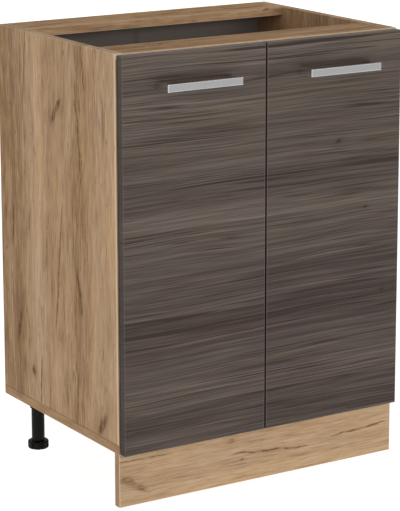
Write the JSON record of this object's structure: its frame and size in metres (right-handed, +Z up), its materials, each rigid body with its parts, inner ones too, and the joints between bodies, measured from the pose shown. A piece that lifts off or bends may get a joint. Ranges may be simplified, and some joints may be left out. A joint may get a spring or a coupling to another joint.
{
  "type": "kitchen base cabinet",
  "caption": "Free-standing kitchen base cabinet without worktop: oak-decor box on adjustable legs with plinth, dark doors on concealed hinges and flat bow handles.",
  "frame": {"origin": "on the floor, in the middle of the overall width and of the overall depth with handles", "axes": "+X to the right seen from the front, +Y to the rear, +Z up; the doors face -Y"},
  "size_m": [0.6, 0.495, 0.82],
  "materials": {
    "oak_board": "matt oak decor on chipboard",
    "oak_edging": "matt oak edge band",
    "dark_board": "satin dark grey-brown decor on chipboard",
    "dark_edging": "satin edge band",
    "back_board": "dark grey lacquered fibreboard",
    "joint_strip": "dark grey joint strip",
    "beech": "raw beech",
    "plated_steel": "nickel plate",
    "satin_metal": "satin",
    "black_plastic": "moulded black",
    "clear_bumper": "soft clear bumper"
  },
  "bodies": {
    "carcass": {"side_panel_left": "oak_board", "side_panel_right": "oak_board", "bottom_panel": "oak_board", "top_rail_front": "oak_board", "top_rail_rear": "oak_board", "carcass_edging": "oak_edging", "back_panel_left": "back_board", "back_panel_right": "back_board", "back_joint_strip": "joint_strip", "back_nails": "plated_steel", "shelf": "oak_board", "shelf_pins": "plated_steel", "cam_locks": "plated_steel", "cam_bolts": "plated_steel", "dowels": "beech", "plinth": "oak_board", "plinth_clips": "black_plastic", "plinth_clip_screws": "plated_steel", "leg_screws": "plated_steel", "hinge_arms_left": "plated_steel", "hinge_arms_right": "plated_steel", "hinge_plates_left": "plated_steel", "hinge_plates_right": "plated_steel", "hinge_arm_pins_left": "plated_steel", "hinge_arm_pins_right": "plated_steel", "hinge_plate_screws": "plated_steel", "hinge_adjusting_screws": "plated_steel", "leg_socket_front_left": "black_plastic", "leg_tube_front_left": "black_plastic", "leg_socket_front_right": "black_plastic", "leg_tube_front_right": "black_plastic", "leg_socket_rear_left": "black_plastic", "leg_tube_rear_left": "black_plastic", "leg_socket_rear_right": "black_plastic", "leg_tube_rear_right": "black_plastic"},
    "door_left": {"door_left": "dark_board", "door_edging_left": "dark_edging", "door_bumpers_left": "clear_bumper", "handle_left": "satin_metal", "handle_screws_left": "plated_steel", "hinge_cups_left": "plated_steel", "hinge_cup_screws_left": "plated_steel", "hinge_cup_pins_left": "plated_steel"},
    "inner_links_left": {"hinge_inner_links_left": "plated_steel"},
    "outer_links_left": {"hinge_outer_links_left": "plated_steel"},
    "door_right": {"door_right": "dark_board", "door_edging_right": "dark_edging", "door_bumpers_right": "clear_bumper", "handle_right": "satin_metal", "handle_screws_right": "plated_steel", "hinge_cups_right": "plated_steel", "hinge_cup_screws_right": "plated_steel", "hinge_cup_pins_right": "plated_steel"},
    "inner_links_right": {"hinge_inner_links_right": "plated_steel"},
    "outer_links_right": {"hinge_outer_links_right": "plated_steel"},
    "foot_front_left": {"leg_foot_front_left": "black_plastic"},
    "foot_front_right": {"leg_foot_front_right": "black_plastic"},
    "foot_rear_left": {"leg_foot_rear_left": "black_plastic"},
    "foot_rear_right": {"leg_foot_rear_right": "black_plastic"}
  },
  "joints": [
    {"name": "inner_link_turn_left", "type": "hinge", "parent": "carcass", "child": "inner_links_left", "pos_m": [-0.264, -0.1877, 0.4595], "axis": [0, 0, 1], "range_deg": [0, 33.62]},
    {"name": "door_swing_left", "type": "hinge", "parent": "inner_links_left", "child": "door_left", "pos_m": [-0.2876, -0.1986, 0.4595], "axis": [0, 0, -1], "range_deg": [0, 138.6]},
    {"name": "outer_link_turn_left", "type": "hinge", "parent": "carcass", "child": "outer_links_left", "pos_m": [-0.2636, -0.2015, 0.4595], "axis": [0, 0, 1], "range_deg": [0, 43.49]},
    {"name": "inner_link_turn_right", "type": "hinge", "parent": "carcass", "child": "inner_links_right", "pos_m": [0.264, -0.1877, 0.4595], "axis": [0, 0, -1], "range_deg": [0, 33.62]},
    {"name": "door_swing_right", "type": "hinge", "parent": "inner_links_right", "child": "door_right", "pos_m": [0.2876, -0.1986, 0.4595], "axis": [0, 0, 1], "range_deg": [0, 138.6]},
    {"name": "outer_link_turn_right", "type": "hinge", "parent": "carcass", "child": "outer_links_right", "pos_m": [0.2636, -0.2015, 0.4595], "axis": [0, 0, -1], "range_deg": [0, 43.49]},
    {"name": "foot_screw_front_left", "type": "slide", "parent": "carcass", "child": "foot_front_left", "axis": [0, 0, -1], "range_m": [0, 0.025]},
    {"name": "foot_screw_front_right", "type": "slide", "parent": "carcass", "child": "foot_front_right", "axis": [0, 0, -1], "range_m": [0, 0.025]},
    {"name": "foot_screw_rear_left", "type": "slide", "parent": "carcass", "child": "foot_rear_left", "axis": [0, 0, -1], "range_m": [0, 0.025]},
    {"name": "foot_screw_rear_right", "type": "slide", "parent": "carcass", "child": "foot_rear_right", "axis": [0, 0, -1], "range_m": [0, 0.025]}
  ],
  "couplings": [
    {"joint": "inner_link_turn_left", "follows": "door_swing_left", "ratio": 0.24242},
    {"joint": "outer_link_turn_left", "follows": "door_swing_left", "ratio": 0.31364},
    {"joint": "inner_link_turn_right", "follows": "door_swing_right", "ratio": 0.24242},
    {"joint": "outer_link_turn_right", "follows": "door_swing_right", "ratio": 0.31364}
  ]
}
